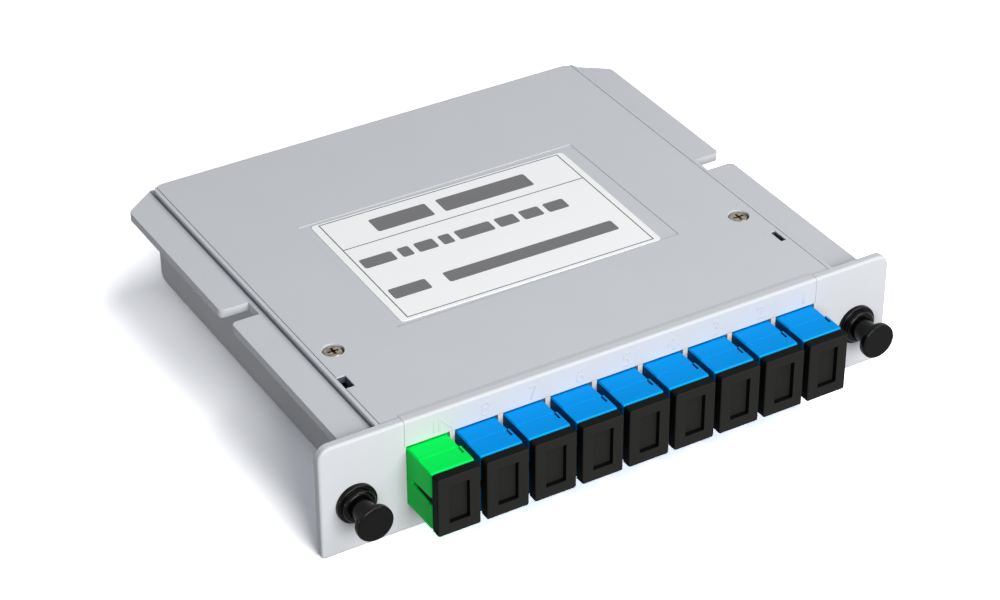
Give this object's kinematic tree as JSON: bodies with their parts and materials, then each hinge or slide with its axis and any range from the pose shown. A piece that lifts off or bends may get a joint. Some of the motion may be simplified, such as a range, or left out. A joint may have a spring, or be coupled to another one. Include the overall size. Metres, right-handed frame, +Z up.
{
  "type": "fibre splitter cassette",
  "caption": "Flat grey plug-in cassette that splits one fibre line to a row of capped square adapters, with side rails and a push-pull latch in each ear.",
  "frame": {"origin": "on the flat underside, midway between the ears, in the plane of the ears' rear faces", "axes": "+X across the ears to the right seen from the front, +Y from the ear panel towards the rear, +Z up"},
  "size_m": [0.13, 0.1126, 0.0253],
  "materials": {
    "housing_grey": "fine matt moulded plastic, light grey",
    "label_paper": "satin self-adhesive label, off-white",
    "screw_zinc": "yellow zinc plating, bright",
    "latch_black": "polished black nylon",
    "adapter_green": "moulded plastic, bright green",
    "adapter_blue": "moulded plastic, bright blue",
    "holder_white": "natural moulded plastic",
    "zirconia": "polished zirconia",
    "cap_black": "soft satin black plastic",
    "plug_green": "moulded plastic, green",
    "plug_blue": "moulded plastic, blue",
    "boot_white": "matt rubber, white",
    "module_steel": "brushed stainless steel",
    "module_boot_black": "matt rubber, black",
    "fibre_natural": "tight-buffered fibre sheath, natural white",
    "fibre_blue": "tight-buffered fibre sheath, blue",
    "fibre_orange": "tight-buffered fibre sheath, orange",
    "fibre_green": "tight-buffered fibre sheath, green",
    "fibre_brown": "tight-buffered fibre sheath, brown",
    "fibre_slate": "tight-buffered fibre sheath, slate",
    "fibre_white": "tight-buffered fibre sheath, white",
    "fibre_red": "tight-buffered fibre sheath, red",
    "fibre_black": "tight-buffered fibre sheath, black"
  },
  "bodies": {
    "housing": {"base_tray": "housing_grey", "top_cover": "housing_grey", "label": "label_paper", "cover_screw_left": "screw_zinc", "grommet_left": "latch_black", "cover_screw_right": "screw_zinc", "grommet_right": "latch_black", "adapter_in": "adapter_green", "connector_in": "plug_green", "adapter_out_8": "adapter_blue", "connector_out_8": "plug_blue", "adapter_out_7": "adapter_blue", "connector_out_7": "plug_blue", "adapter_out_6": "adapter_blue", "connector_out_6": "plug_blue", "adapter_out_5": "adapter_blue", "connector_out_5": "plug_blue", "adapter_out_4": "adapter_blue", "connector_out_4": "plug_blue", "adapter_out_3": "adapter_blue", "connector_out_3": "plug_blue", "adapter_out_2": "adapter_blue", "connector_out_2": "plug_blue", "adapter_out_1": "adapter_blue", "connector_out_1": "plug_blue", "sleeve_holders": "holder_white", "alignment_sleeves": "zirconia", "ferrules": "zirconia", "strain_boots": "boot_white", "splitter_module": "module_steel", "module_boot_in": "module_boot_black", "module_boot_out": "module_boot_black", "input_fibre": "fibre_natural", "output_fibre_1": "fibre_blue", "output_fibre_2": "fibre_orange", "output_fibre_3": "fibre_green", "output_fibre_4": "fibre_brown", "output_fibre_5": "fibre_slate", "output_fibre_6": "fibre_white", "output_fibre_7": "fibre_red", "output_fibre_8": "fibre_black"},
    "cap_in": {"dust_cap_in": "cap_black"},
    "cap_out_8": {"dust_cap_out_8": "cap_black"},
    "cap_out_7": {"dust_cap_out_7": "cap_black"},
    "cap_out_6": {"dust_cap_out_6": "cap_black"},
    "cap_out_5": {"dust_cap_out_5": "cap_black"},
    "cap_out_4": {"dust_cap_out_4": "cap_black"},
    "cap_out_3": {"dust_cap_out_3": "cap_black"},
    "cap_out_2": {"dust_cap_out_2": "cap_black"},
    "cap_out_1": {"dust_cap_out_1": "cap_black"},
    "knob_left": {"plunger_left": "latch_black"},
    "knob_right": {"plunger_right": "latch_black"}
  },
  "joints": [
    {"name": "cap_in_pull", "type": "slide", "parent": "housing", "child": "cap_in", "axis": [0, -1, 0], "range_m": [0, 0.012]},
    {"name": "cap_out_8_pull", "type": "slide", "parent": "housing", "child": "cap_out_8", "axis": [0, -1, 0], "range_m": [0, 0.012]},
    {"name": "cap_out_7_pull", "type": "slide", "parent": "housing", "child": "cap_out_7", "axis": [0, -1, 0], "range_m": [0, 0.012]},
    {"name": "cap_out_6_pull", "type": "slide", "parent": "housing", "child": "cap_out_6", "axis": [0, -1, 0], "range_m": [0, 0.012]},
    {"name": "cap_out_5_pull", "type": "slide", "parent": "housing", "child": "cap_out_5", "axis": [0, -1, 0], "range_m": [0, 0.012]},
    {"name": "cap_out_4_pull", "type": "slide", "parent": "housing", "child": "cap_out_4", "axis": [0, -1, 0], "range_m": [0, 0.012]},
    {"name": "cap_out_3_pull", "type": "slide", "parent": "housing", "child": "cap_out_3", "axis": [0, -1, 0], "range_m": [0, 0.012]},
    {"name": "cap_out_2_pull", "type": "slide", "parent": "housing", "child": "cap_out_2", "axis": [0, -1, 0], "range_m": [0, 0.012]},
    {"name": "cap_out_1_pull", "type": "slide", "parent": "housing", "child": "cap_out_1", "axis": [0, -1, 0], "range_m": [0, 0.012]},
    {"name": "knob_left_push", "type": "slide", "parent": "housing", "child": "knob_left", "axis": [0, 1, 0], "range_m": [0, 0.004]},
    {"name": "knob_right_push", "type": "slide", "parent": "housing", "child": "knob_right", "axis": [0, 1, 0], "range_m": [0, 0.004]}
  ]
}
